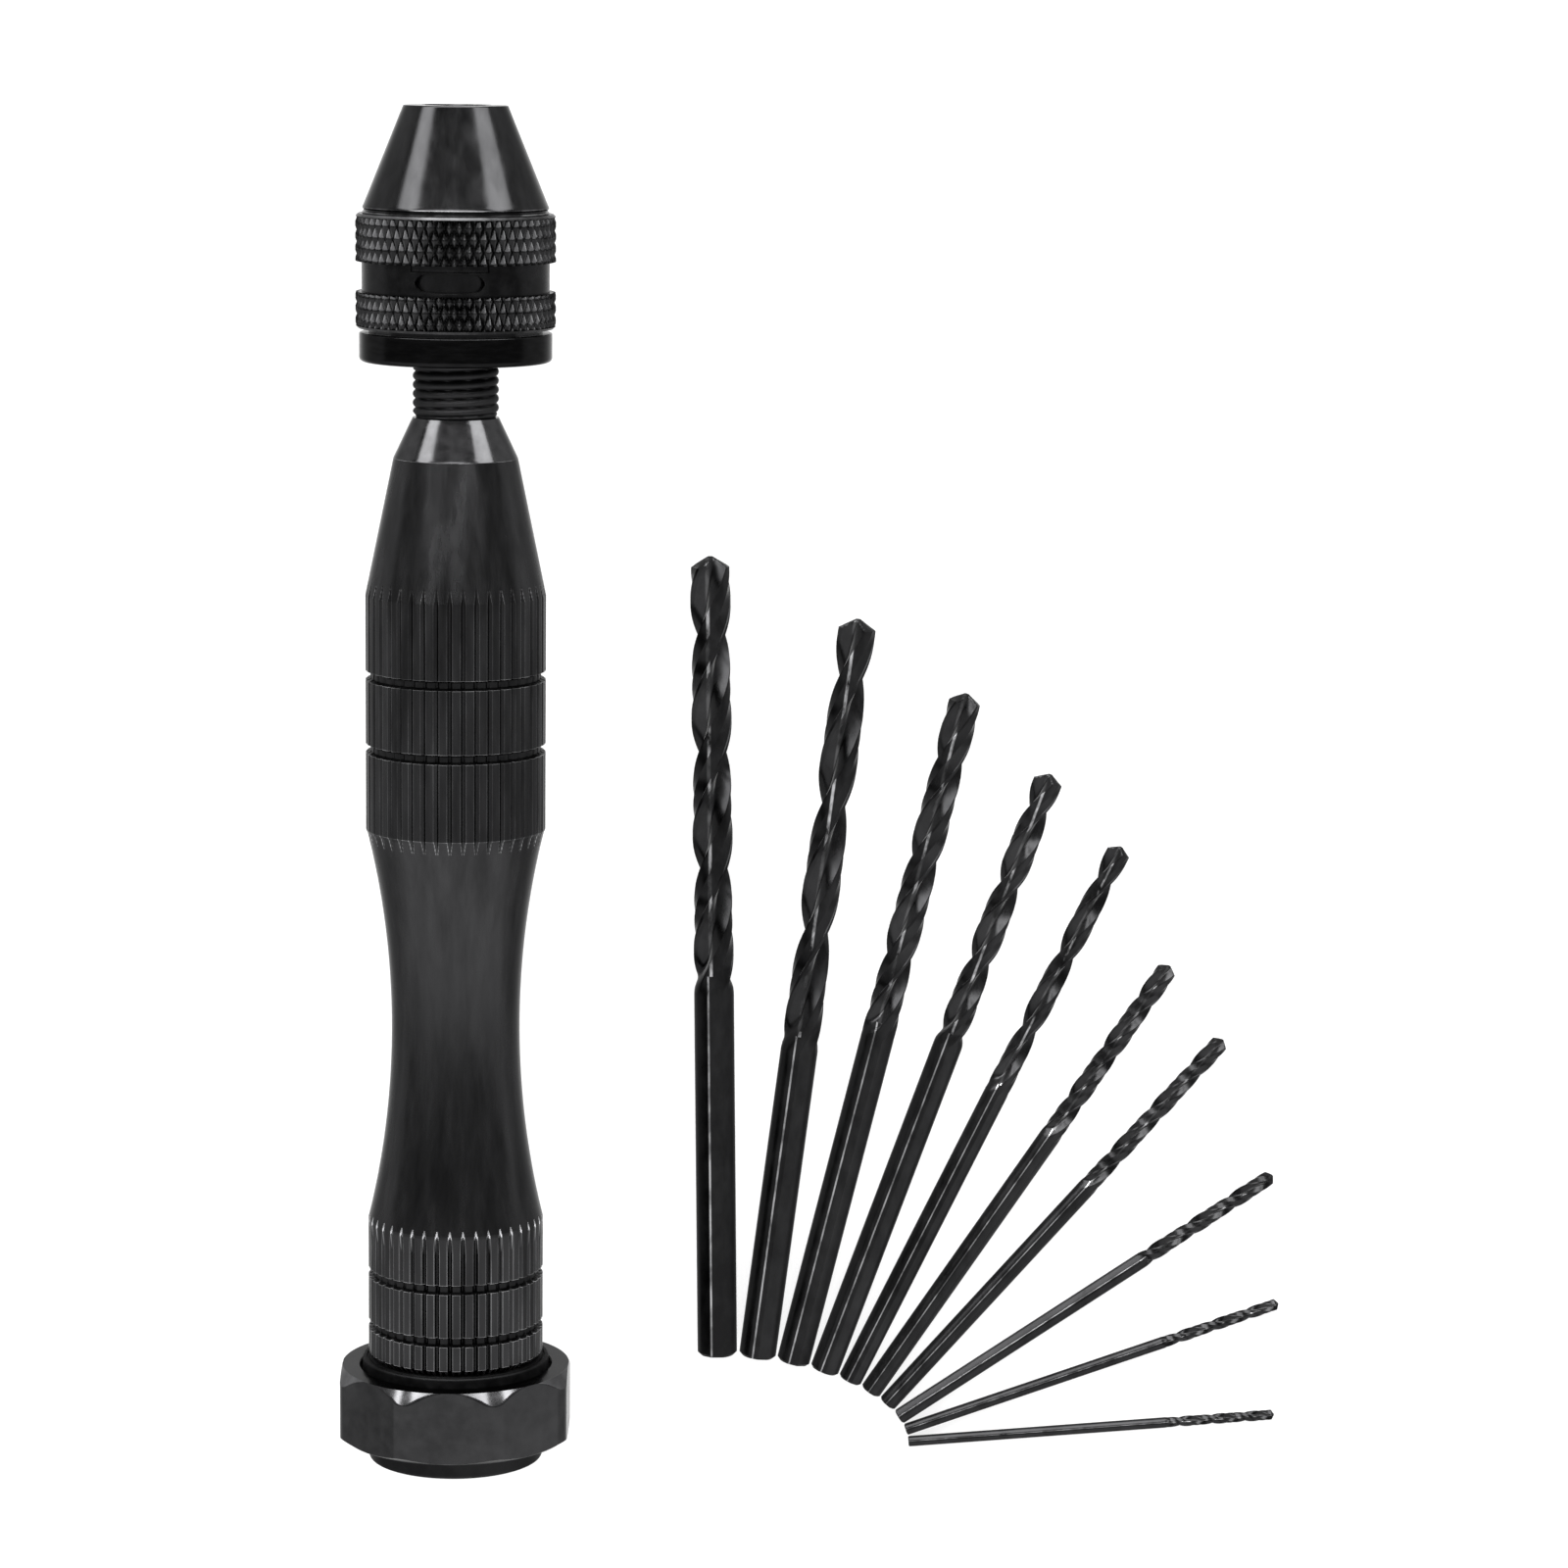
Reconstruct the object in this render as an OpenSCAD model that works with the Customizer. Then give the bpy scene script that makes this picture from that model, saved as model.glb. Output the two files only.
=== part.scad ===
// Pin vise drill with a keyless three-jaw chuck, a swivelling end cap and ten twist drills.
// The drill lies flat with its nose towards +Y, and the bits lie beside it in a fan.
// The pieces of the drill are drawn in their own frame: z is the distance behind the nose face,
// +x is to the right and +y is up, and on_axis() lays that frame down on the table.

/* [Chuck] */
// Radius of the nose face
nose_r = 3.8; // [3.2:0.1:4.2]
// Radius of the cone where it meets the sleeve
cone_r = 6.7; // [6.6:0.05:6.8]
// Length of the nose cone
cone_len = 7.25; // [7.0:0.05:7.4]
// Radius over the knurled bands of the sleeve
sleeve_r = 7.2; // [7.0:0.05:7.25]
// Radius of the neck between the knurled bands
neck_r = 6.75; // [6.7:0.01:6.85]
// Width of each window in the neck
window_w = 5.1; // [3:0.1:6]
// Radius of the plain ring behind the sleeve
ring_r = 6.95; // [6.5:0.05:7.1]
// Radius of the hole that takes the bit's shank
bit_bore_r = 1.7; // [1.7:0.01:1.8]

/* [Jaws] */
// Angle between each jaw and the axis, in degrees
jaw_tilt = 15; // [15:0.1:15.5]
// Radius of a jaw
jaw_r = 0.95; // [0.85:0.01:0.96]
// Distance from the axis to the gripping edge with the chuck open
jaw_open = 1.6; // [1.3:0.05:1.65]

/* [Spindle] */
// Radius over the thread crests
thread_r = 3.1; // [2.8:0.05:3.12]
// Pitch of the thread
thread_pitch = 0.65; // [0.5:0.05:0.8]
// Radius of the pressed-in shank
shank_r = 3.0; // [2.5:0.1:3.4]

/* [Handle] */
// Radius of the front grip
front_grip_r = 6.55; // [6.2:0.05:6.8]
// Radius of the rear grip
rear_grip_r = 6.45; // [6.2:0.05:6.6]
// Smallest radius of the waist
waist_r = 4.7; // [4.2:0.1:5.5]
// Radius of the handle's front end
taper_r = 4.5; // [4.3:0.1:5]

/* [End cap] */
// Number of sides of the cap
cap_sides = 8; // [8:4:12]
// Distance from the axis to the cap's flats
cap_flat = 8.4; // [8.3:0.05:9]
// Radius of the rounding on the cap's corners
cap_corner = 2; // [1:0.1:4]
// Height of the chamfer that takes off the cap's front corners
cap_chamfer = 1; // [0.5:0.1:1.5]
// Height of the chamfer on the cap's rear corners
cap_rear_chamfer = 0.4; // [0.2:0.1:1.5]
// Radius of the palm disc
disc_r = 6.44; // [5.5:0.02:7]

/* [Bits] */
// Gap between neighbouring shanks at the foot of the fan
fan_gap = 0.12; // [0.1:0.01:0.3]
// Point angle of the bits, in degrees
point_angle = 118; // [110:1:135]
// Web of the bits at the middle of a flute, as a share of the diameter
web_share = 0.3; // [0.2:0.05:0.5]

/* [Hidden] */
$fn = 96;
eps = 0.01;

black_steel = [0.13, 0.13, 0.14];
black_alloy = [0.17, 0.17, 0.18];
black_nylon = [0.06, 0.06, 0.06];
bright_steel = [0.75, 0.76, 0.78];

// Stations along the drill, measured back from the nose face
cone_rim = 7.65;
nut_front = 7.9;
nut_back = 9.7;
nut_play = 0.1;
sleeve_front = 7.7;
neck_front = 11.1;
neck_back = 13.3;
sleeve_back = 15.9;
ring_front = 16.2;
chuck_back = 18.3;
bore_end = 12.9;
socket_front = 13.5;
stud_front = 13.8;
thread_end = 22.3;
shoulder_front = 22.6;
handle_front = 25.25;
shank_end = 42;
taper_end = 35.2;
waist_front = 52.4;
waist_back = 81.8;
grip_end = 92.15;
washer_back = 93.4;
cap_front = 92.8;
cap_floor = 93.55;
bearing_front = 94.2;
bearing_back = 97.2;
cap_back = 98.2;
disc_back = 99.9;
screw_tip = 84;
jaw_hole_end = 13.9;

// Screw, boss and washer of the cap
screw_r = 1.25;
boss_r = 2.4;
washer_r = 6.9;

// Fits in the chuck
sleeve_bore = 6.35;
barrel_r = 6.25;
groove_r = 4.5;
tail_r = 5.6;
bush_r = 4.0;
running = 0.05;
jaw_play = 0.05;
jaw_tip = 0.6;
jaw_end = 13.4;

// Ball bearing, 3 mm bore, 8 mm outside, 3 mm wide
bearing_bore = 1.5;
bearing_r = 4.0;
ball_count = 7;
ball_r = 0.55;
ball_pitch = 2.75;
land = 0.45;
groove_play = 0.03;

// Axis height: the cap's lower flat lies on the table
axis_z = cap_flat;

// Bits: diameter, length, fluted length, direction clockwise from +Y, lead of the flutes,
// distance from the tip to where the flutes first face sideways, and angular width of a flute
BITS = [[3.0, 61, 33, -1, 17.6, 5.9, 88], [2.8, 57, 33, 7, 19.4, 4.3, 99],
        [2.5, 53, 27, 13.5, 15.3, 5.0, 78], [2.2, 49, 22, 19.5, 12.3, 2.6, 99],
        [1.8, 46, 21, 25.5, 12.6, 2.6, 99], [1.6, 40, 16, 33.5, 9.3, 3.0, 76],
        [1.4, 38, 15.5, 41, 9.0, 2.8, 74], [1.2, 34, 12, 55.5, 7.4, 3.4, 76],
        [0.9, 30, 9.5, 70, 5.6, 2.2, 80], [0.8, 28, 8.5, 85, 5.0, 2.0, 80]];
// Foot of the first bit, from the drill's nose on its axis
fan_start = [19.4, -93.9];

function facing(a) = [sin(a), cos(a)];
function beside(a) = [cos(a), -sin(a)];
// Each bit's foot lies square to the mean direction of the two bits, a gap away from the last one
function foot(i) = i == 0 ? fan_start
    : foot(i - 1) + beside((BITS[i - 1][3] + BITS[i][3]) / 2)
        * ((BITS[i - 1][0] + BITS[i][0]) / 2 + fan_gap);
function point_len(d) = d / 2 / tan(point_angle / 2);

// The set's box in plan, which places the frame's origin under its centre
function shoulder(i) = foot(i) + facing(BITS[i][3]) * (BITS[i][1] - point_len(BITS[i][0]));
function bit_right(i) = max((foot(i) + facing(BITS[i][3]) * BITS[i][1])[0],
                            shoulder(i)[0] + BITS[i][0] / 2 * cos(BITS[i][3]));
function bit_low(i) = foot(i)[1] - BITS[i][0] / 2 * abs(sin(BITS[i][3]));
right_end = max([for (i = [0:len(BITS) - 1]) bit_right(i)]);
low_end = min(concat([-disc_back], [for (i = [0:len(BITS) - 1]) bit_low(i)]));
tool_x = -(right_end - cap_flat) / 2;
nose_y = -low_end / 2;

module on_axis() translate([tool_x, nose_y, axis_z]) rotate([90, 0, 0]) children();

// A solid of revolution from points of radius and station
module turned(points) rotate_extrude() polygon(points);

module tube(r_in, r_out, from, to) {
    difference() {
        translate([0, 0, from]) cylinder(r = r_out, h = to - from);
        translate([0, 0, from - 1]) cylinder(r = r_in, h = to - from + 2);
    }
}

// ---------------------------------------------------------------- handle

// Circular arc of the waist, from one end to the other, as points of radius and station
function waist_arc(steps) =
    let (half = (waist_back - waist_front) / 2,
         mid = (waist_back + waist_front) / 2,
         sag = (front_grip_r + rear_grip_r) / 2 - waist_r,
         arc_r = (half * half + sag * sag) / (2 * sag),
         span = asin(half / arc_r))
    [for (k = [1:steps - 1]) let (a = -span + 2 * span * k / steps)
        [waist_r + arc_r * (1 - cos(a)), mid + arc_r * sin(a)]];

module ring_groove(station, grip_r) {
    groove_w = 0.7;
    groove_depth = 0.35;
    tube(grip_r - groove_depth, grip_r + 1, station - groove_w / 2, station + groove_w / 2);
}

module handle() {
    bevel = 0.45;
    color(black_alloy) on_axis() difference() {
        turned(concat(
            [[0, handle_front], [taper_r, handle_front], [front_grip_r, taper_end],
             [front_grip_r, waist_front]],
            waist_arc(24),
            [[rear_grip_r, waist_back], [rear_grip_r, grip_end - bevel],
             [rear_grip_r - bevel, grip_end], [boss_r, grip_end], [boss_r, bearing_front],
             [0, bearing_front]]));
        translate([0, 0, handle_front - 1]) cylinder(r = shank_r, h = shank_end - handle_front + 1);
        translate([0, 0, screw_tip]) cylinder(r = screw_r, h = bearing_front - screw_tip + 1);
        for (station = [41.05, 46.4]) ring_groove(station, front_grip_r);
        for (station = [85.6, 89.55]) ring_groove(station, rear_grip_r);
    }
}

module spindle() {
    depth = 0.61 * thread_pitch;
    turns = floor((thread_end - stud_front) / thread_pitch);
    root_r = thread_r - depth;
    color(black_steel) on_axis() turned(concat(
        [[0, stud_front], [root_r, stud_front]],
        [for (k = [0:turns - 1], p = [[0.15, 0], [0.4, depth], [0.6, depth], [0.85, 0]])
            [root_r + p[1], stud_front + (k + p[0]) * thread_pitch]],
        [[root_r, thread_end], [3.25, shoulder_front], [taper_r, handle_front],
         [shank_r, handle_front], [shank_r, shank_end], [0, shank_end]]));
}

// ---------------------------------------------------------------- end cap and its bearing

module thrust_washer() {
    color(black_nylon) on_axis() tube(boss_r, washer_r, grip_end, washer_back);
}

module axle_screw() {
    head_r = 2.6;
    head_h = 0.8;
    color(bright_steel) on_axis() difference() {
        union() {
            translate([0, 0, screw_tip + 0.3]) cylinder(r = screw_r, h = bearing_front - screw_tip);
            translate([0, 0, bearing_front]) cylinder(r = bearing_bore, h = bearing_back - bearing_front);
            translate([0, 0, bearing_back]) cylinder(r = head_r, h = head_h);
        }
        translate([0, 0, bearing_back + 0.2]) cylinder(r = 1.15, h = 1, $fn = 6);
    }
}

// The track that the balls roll in
module ball_track() {
    translate([0, 0, (bearing_front + bearing_back) / 2]) rotate_extrude()
        translate([ball_pitch, 0]) circle(r = ball_r + groove_play, $fn = 32);
}

module at_balls() {
    for (k = [0:ball_count - 1]) rotate(k * 360 / ball_count)
        translate([ball_pitch, 0, (bearing_front + bearing_back) / 2]) children();
}

module bearing_inner_race() {
    color(bright_steel) on_axis() difference() {
        tube(bearing_bore, ball_pitch - land, bearing_front, bearing_back);
        ball_track();
    }
}

module bearing_outer_race() {
    color(bright_steel) on_axis() difference() {
        tube(ball_pitch + land, bearing_r, bearing_front, bearing_back);
        ball_track();
    }
}

module bearing_balls() {
    color(bright_steel) on_axis() at_balls() sphere(r = ball_r, $fn = 32);
}

module bearing_cage() {
    cage_half = 0.65;
    cage_wall = 0.3;
    middle = (bearing_front + bearing_back) / 2;
    color(black_nylon) on_axis() difference() {
        tube(ball_pitch - cage_wall, ball_pitch + cage_wall, middle - cage_half, middle + cage_half);
        at_balls() rotate([0, 90, 0]) cylinder(r = ball_r + groove_play, h = 2, center = true);
    }
}

// Regular polygon with rounded corners and one flat facing down
function rounded_polygon(sides, flat, round_r) =
    let (half = 180 / sides, reach = (flat - round_r) / cos(half), steps = 6)
    [for (k = [0:sides - 1], j = [0:steps])
        let (corner = half * (2 * k + 1), a = corner - half + 2 * half * j / steps)
        [reach * cos(corner) + round_r * cos(a), reach * sin(corner) + round_r * sin(a)]];

module end_cap() {
    corner_r = (cap_flat - cap_corner) / cos(180 / cap_sides) + cap_corner;
    end_r = cap_flat + 0.02;
    recess_r = 7.08;
    boss_hole_r = 2.7;
    color(black_alloy) on_axis() difference() {
        intersection() {
            translate([0, 0, cap_front]) linear_extrude(cap_back - cap_front)
                polygon(rounded_polygon(cap_sides, cap_flat, cap_corner));
            turned([[0, cap_front], [end_r, cap_front], [corner_r, cap_front + cap_chamfer],
                    [corner_r, cap_back - cap_rear_chamfer], [end_r, cap_back], [0, cap_back]]);
        }
        translate([0, 0, cap_front - 1]) cylinder(r = recess_r, h = cap_floor - cap_front + 1);
        translate([0, 0, cap_floor - 1]) cylinder(r = boss_hole_r, h = 3);
        translate([0, 0, bearing_front]) cylinder(r = bearing_r, h = 5);
    }
}

module end_disc() {
    rim = 0.25;
    color(black_alloy) on_axis() {
        turned([[0, cap_back], [disc_r, cap_back], [disc_r, disc_back - rim],
                [disc_r - rim, disc_back], [0, disc_back]]);
        tube(3.1, bearing_r - running, bearing_back + running, cap_back + eps);
    }
}

// ---------------------------------------------------------------- chuck

// The axis of jaw k: its distance from the drill's axis grows towards the back
function jaw_reach(station) = bit_bore_r + station * tan(jaw_tilt);

module at_jaw(k) {
    rotate(90 + 120 * k) translate([bit_bore_r, 0, 0]) rotate([0, jaw_tilt, 0]) children();
}

module thread_bush() {
    color(black_steel) on_axis() tube(thread_r + 0.06, bush_r, socket_front + 0.1, chuck_back);
}

module chuck_body() {
    mouth = 0.5;
    color(black_steel) on_axis() difference() {
        turned([[0, 0], [nose_r, 0], [cone_r, cone_len], [cone_r, cone_rim], [barrel_r, cone_rim],
                [barrel_r, nut_front - nut_play], [groove_r, nut_front - nut_play],
                [groove_r, nut_back + nut_play], [barrel_r, nut_back + nut_play],
                [barrel_r, ring_front], [tail_r, ring_front], [tail_r, chuck_back],
                [0, chuck_back]]);
        translate([0, 0, -1]) cylinder(r = bit_bore_r, h = bore_end + 1);
        translate([0, 0, -eps]) cylinder(r1 = bit_bore_r + mouth, r2 = bit_bore_r - eps, h = mouth);
        translate([0, 0, socket_front]) cylinder(r = bush_r + running, h = 10);
        for (k = [0:2]) at_jaw(k) translate([0, 0, -2])
            cylinder(r = jaw_r + jaw_play, h = 2 + jaw_hole_end / cos(jaw_tilt));
    }
}

module rear_ring() {
    fillet = 0.35;
    color(black_steel) on_axis() difference() {
        turned([[tail_r - 1, ring_front], [ring_r, ring_front], [ring_r, chuck_back - fillet],
                [ring_r - fillet * 0.3, chuck_back - fillet * 0.3],
                [ring_r - fillet, chuck_back], [tail_r - 1, chuck_back]]);
        translate([0, 0, ring_front - 1]) cylinder(r = tail_r, h = 5);
    }
}

module chuck_sleeve() {
    edge = 0.2;
    window_h = 1.38;
    window_s = 12.36;
    color(black_steel) on_axis() difference() {
        turned([[sleeve_bore - 1, sleeve_front], [sleeve_r - edge, sleeve_front],
                [sleeve_r, sleeve_front + edge], [sleeve_r, neck_front], [neck_r, neck_front],
                [neck_r, neck_back], [sleeve_r, neck_back], [sleeve_r, sleeve_back - edge],
                [sleeve_r - edge, sleeve_back], [sleeve_bore - 1, sleeve_back]]);
        translate([0, 0, sleeve_front - 1]) cylinder(r = sleeve_bore, h = 20);
        for (k = [0:2]) rotate(120 * k) translate([0, 0, window_s]) rotate([-90, 0, 0])
            linear_extrude(10) {
                square([window_w - window_h, window_h], center = true);
                for (side = [-1, 1]) translate([side * (window_w - window_h) / 2, 0])
                    circle(d = window_h);
            }
    }
}

// Half of the split nut. Its bore is a cone that the jaws' backs slide along.
module jaw_nut_half(turn) {
    split = 0.05;
    wall = (jaw_r + jaw_play) / cos(jaw_tilt);
    color(bright_steel) on_axis() rotate(turn) intersection() {
        turned([[jaw_reach(nut_front) + wall, nut_front], [sleeve_bore, nut_front],
                [sleeve_bore, nut_back], [jaw_reach(nut_back) + wall, nut_back]]);
        translate([split, -10, 0]) cube([20, 20, 20]);
    }
}

module jaw_nut_a() jaw_nut_half(0);
module jaw_nut_b() jaw_nut_half(180);

module jaw(k) {
    wedge = 6;
    color(bright_steel) on_axis() intersection() {
        at_jaw(k) translate([0, 0, -2]) cylinder(r = jaw_r, h = 20);
        rotate(90 + 120 * k) translate([jaw_open, 0, jaw_tip]) linear_extrude(jaw_end - jaw_tip)
            polygon([[0, 0], [wedge * cos(60), wedge * sin(60)], [wedge * 2, wedge * sin(60)],
                     [wedge * 2, -wedge * sin(60)], [wedge * cos(60), -wedge * sin(60)]]);
    }
}

module jaw_1() jaw(0);
module jaw_2() jaw(1);
module jaw_3() jaw(2);

// ---------------------------------------------------------------- twist drills

// Radius of a two-flute section at angle a, for a unit radius; a flute's middle is at angle 0
function flute_profile(a, width) =
    let (off = abs(a - 180 * round(a / 180)), lip = 0.92)
    off > width / 2 ? 1 : web_share + (lip - web_share) * pow(off * 2 / width, 2);

// Polyhedron of one bit standing on its shank end, as rings of points
module twist_drill(d, length, flute, lead, first, width) {
    sides = 18;
    step_turn = 24;
    r = d / 2;
    tip = point_len(d);
    shank = length - flute;
    fade = d;
    rings = ceil((flute - tip) / lead * 360 / step_turn);
    stations = concat([0, shank - 0.2], [for (k = [0:rings]) shank + (flute - tip) * k / rings],
                      [length - tip * 0.5, length - tip * 0.12]);
    points = [for (z = stations, k = [0:sides - 1])
        let (a = 360 * k / sides,
             depth = max(0, min(1, (z - shank) / fade)),
             turn = 360 * (max(z, shank) - (length - first)) / lead,
             section = 1 - depth * (1 - flute_profile(a, width)),
             rr = min(r * section, (length - z) * tan(point_angle / 2)))
        [rr * cos(a + turn), rr * sin(a + turn), z]];
    last = len(stations) - 1;
    faces = concat([[for (k = [0:sides - 1]) k]],
        [for (j = [0:last - 1], k = [0:sides - 1])
            [j * sides + k, (j + 1) * sides + k, (j + 1) * sides + (k + 1) % sides]],
        [for (j = [0:last - 1], k = [0:sides - 1])
            [j * sides + k, (j + 1) * sides + (k + 1) % sides, j * sides + (k + 1) % sides]],
        [[for (k = [0:sides - 1]) last * sides + sides - 1 - k]]);
    polyhedron(points, faces, convexity = 6);
}

module laid_bit(i) {
    color(black_steel) translate([tool_x + foot(i)[0], nose_y + foot(i)[1], BITS[i][0] / 2])
        rotate([0, 0, -BITS[i][3]]) rotate([-90, 0, 0])
            twist_drill(BITS[i][0], BITS[i][1], BITS[i][2], BITS[i][4], BITS[i][5], BITS[i][6]);
}

module drill_3_0() laid_bit(0);
module drill_2_8() laid_bit(1);
module drill_2_5() laid_bit(2);
module drill_2_2() laid_bit(3);
module drill_1_8() laid_bit(4);
module drill_1_6() laid_bit(5);
module drill_1_4() laid_bit(6);
module drill_1_2() laid_bit(7);
module drill_0_9() laid_bit(8);
module drill_0_8() laid_bit(9);

handle();
spindle();
thrust_washer();
axle_screw();
bearing_inner_race();
bearing_balls();
bearing_cage();
bearing_outer_race();
end_cap();
end_disc();
thread_bush();
chuck_body();
rear_ring();
chuck_sleeve();
jaw_nut_a();
jaw_nut_b();
jaw_1();
jaw_2();
jaw_3();
drill_3_0();
drill_2_8();
drill_2_5();
drill_2_2();
drill_1_8();
drill_1_6();
drill_1_4();
drill_1_2();
drill_0_9();
drill_0_8();
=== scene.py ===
import math

import bmesh
import bpy
import numpy as np
from mathutils import Matrix, Vector


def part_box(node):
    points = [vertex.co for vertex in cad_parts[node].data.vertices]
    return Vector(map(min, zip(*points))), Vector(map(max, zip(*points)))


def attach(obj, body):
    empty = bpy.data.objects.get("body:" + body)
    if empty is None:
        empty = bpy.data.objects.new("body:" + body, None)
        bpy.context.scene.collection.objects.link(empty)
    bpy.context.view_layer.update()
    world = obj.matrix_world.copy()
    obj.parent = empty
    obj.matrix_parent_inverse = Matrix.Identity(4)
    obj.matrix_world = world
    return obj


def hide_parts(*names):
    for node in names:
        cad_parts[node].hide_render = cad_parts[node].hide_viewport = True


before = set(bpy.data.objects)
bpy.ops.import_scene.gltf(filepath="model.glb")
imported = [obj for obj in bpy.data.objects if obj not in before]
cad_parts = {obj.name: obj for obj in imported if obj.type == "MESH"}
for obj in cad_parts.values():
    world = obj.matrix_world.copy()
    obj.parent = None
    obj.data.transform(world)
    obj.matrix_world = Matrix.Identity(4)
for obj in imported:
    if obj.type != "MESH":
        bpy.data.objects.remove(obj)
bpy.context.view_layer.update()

# Lengths below are millimetres unless a name says otherwise; MM turns them into metres.
MM = 0.001
TAU = 2 * math.pi
# Slack when a point is told by its radius or its station
NEAR = 0.01

# The drill's axis and the station 0 of its nose face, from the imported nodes
handle_low, handle_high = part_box("handle")
AXIS_X = (handle_low.x + handle_high.x) / 2
AXIS_Z = (handle_low.z + handle_high.z) / 2
NOSE_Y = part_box("chuck_body")[1].y


def station_of(y):
    """Distance of a point behind the nose face, in mm."""
    return (NOSE_Y - y) / MM


# ---------------------------------------------------------------- mesh helpers

def points_at(radius, station, azimuth):
    """World points at these radii, stations and azimuths; azimuth 0 is up and grows towards +X."""
    return np.stack([AXIS_X + radius * np.sin(azimuth) * MM,
                     NOSE_Y - station * MM + 0 * azimuth,
                     AXIS_Z + radius * np.cos(azimuth) * MM], axis=-1)


def ring_faces(rings, sides, closed):
    """Quads between rings of points, and between the last ring and the first when closed."""
    faces = []
    for j in range(rings if closed else rings - 1):
        low, high = j * sides, (j + 1) % rings * sides
        for k in range(sides):
            n = (k + 1) % sides
            faces.append((low + k, high + k, high + n, low + n))
    return faces


def new_object(name, points, faces, sharp=30):
    """A mesh object, smoothed but for the edges steeper than sharp degrees."""
    mesh = bpy.data.meshes.new(name)
    mesh.from_pydata([tuple(p) for p in points], [], faces)
    tidy_mesh(mesh, sharp)
    obj = bpy.data.objects.new(name, mesh)
    bpy.context.scene.collection.objects.link(obj)
    return obj


def tidy_mesh(mesh, sharp):
    """Joins doubled points, turns the faces outwards and smooths all but the sharp edges."""
    bm = bmesh.new()
    bm.from_mesh(mesh)
    bmesh.ops.remove_doubles(bm, verts=bm.verts, dist=2e-7)
    bmesh.ops.recalc_face_normals(bm, faces=bm.faces)
    bm.to_mesh(mesh)
    bm.free()
    mesh.shade_smooth()
    mesh.set_sharp_from_angle(angle=math.radians(sharp))


def dense(profile, step):
    """The profile with points added, so that none are further apart than step(station)."""
    out = [profile[0]]
    for (r0, s0), (r1, s1) in zip(profile, profile[1:]):
        length = math.hypot(r1 - r0, s1 - s0)
        count = max(1, math.ceil(length / step((s0 + s1) / 2)))
        out += [(r0 + (r1 - r0) * k / count, s0 + (s1 - s0) * k / count) for k in range(1, count + 1)]
    return out


def held(profile):
    """The profile with a point close to both ends of each long stretch, so that it shades straight."""
    margin = 0.03
    out = [profile[0]]
    for (r0, s0), (r1, s1) in zip(profile, profile[1:]):
        length = math.hypot(r1 - r0, s1 - s0)
        shares = (margin / length, 1 - margin / length, 1) if length > 8 * margin else (1,)
        out += [(r0 + (r1 - r0) * share, s0 + (s1 - s0) * share) for share in shares]
    return out


def turned(name, profile, azimuths, shape=None, closed=False, sharp=30):
    """A turned piece from (radius, station) points; shape(radius, station, azimuth) cuts into it."""
    profile = held(profile)
    radius, station = (np.array(c, float)[:, None] for c in zip(*profile))
    azimuth = np.asarray(azimuths, float)[None, :]
    radius = radius + 0 * azimuth
    if shape is not None:
        radius = shape(radius, station + 0 * azimuth, azimuth + 0 * station)
    points = points_at(radius, station, azimuth).reshape(-1, 3)
    return new_object(name, points, ring_faces(len(profile), azimuth.size, closed), sharp)


def even(sides):
    """Azimuths spread evenly round the axis."""
    return np.arange(sides) * TAU / sides


def arc(centre, radius, start, end, steps=5):
    """Points (radius, station) round a small fillet; angles in degrees from the outward direction."""
    turns = [math.radians(start + (end - start) * k / steps) for k in range(steps + 1)]
    return [(centre[0] + radius * math.cos(t), centre[1] + radius * math.sin(t)) for t in turns]


def rod(name, start, end, radius, sides=64):
    """A plain cutter cylinder between two world points, radius in metres."""
    start, end = Vector(start), Vector(end)
    turn = (end - start).to_track_quat("Z", "Y")
    ring = [turn @ Vector((radius * math.cos(a), radius * math.sin(a), 0)) for a in even(sides)]
    points = [start + p for p in ring] + [end + p for p in ring]
    faces = ring_faces(2, sides, False) + [tuple(range(sides)), tuple(range(sides, 2 * sides))]
    return new_object(name, points, faces)


def cut(obj, cutters, sharp=30):
    """Takes each cutter out of obj; the cutters are removed."""
    for cutter in cutters:
        step = obj.modifiers.new("cut", "BOOLEAN")
        step.operation = "DIFFERENCE"
        step.solver = "EXACT"
        step.object = cutter
        mesh = bpy.data.meshes.new_from_object(obj.evaluated_get(bpy.context.evaluated_depsgraph_get()))
        obj.modifiers.clear()
        obj.data = mesh
        bpy.data.objects.remove(cutter)
    obj.data.name = obj.name
    tidy_mesh(obj.data, sharp)


def mark_edges(mesh):
    """Vertex attribute for wear: 1 on crisp outward edges, 0 on plain faces and in grooves."""
    plain, crisp_span = 0.07, 0.16
    count = len(mesh.vertices)
    place, normal = np.empty(count * 3), np.empty(count * 3)
    mesh.vertices.foreach_get("co", place)
    mesh.vertices.foreach_get("normal", normal)
    place, normal = place.reshape(-1, 3), normal.reshape(-1, 3)
    ends = np.empty(len(mesh.edges) * 2, int)
    mesh.edges.foreach_get("vertices", ends)
    lean, degree = np.zeros(count), np.zeros(count)
    for here, there in (ends.reshape(-1, 2).T, ends.reshape(-1, 2).T[::-1]):
        way = place[there] - place[here]
        way /= np.maximum(np.linalg.norm(way, axis=1, keepdims=True), 1e-9)
        np.add.at(lean, here, (way * normal[here]).sum(axis=1))
        np.add.at(degree, here, 1)
    crisp = np.clip((-lean / np.maximum(degree, 1) - plain) / crisp_span, 0, 1)
    mesh.attributes.new("crisp", "FLOAT", "POINT").data.foreach_set("value", crisp.astype(np.float32))


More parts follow.
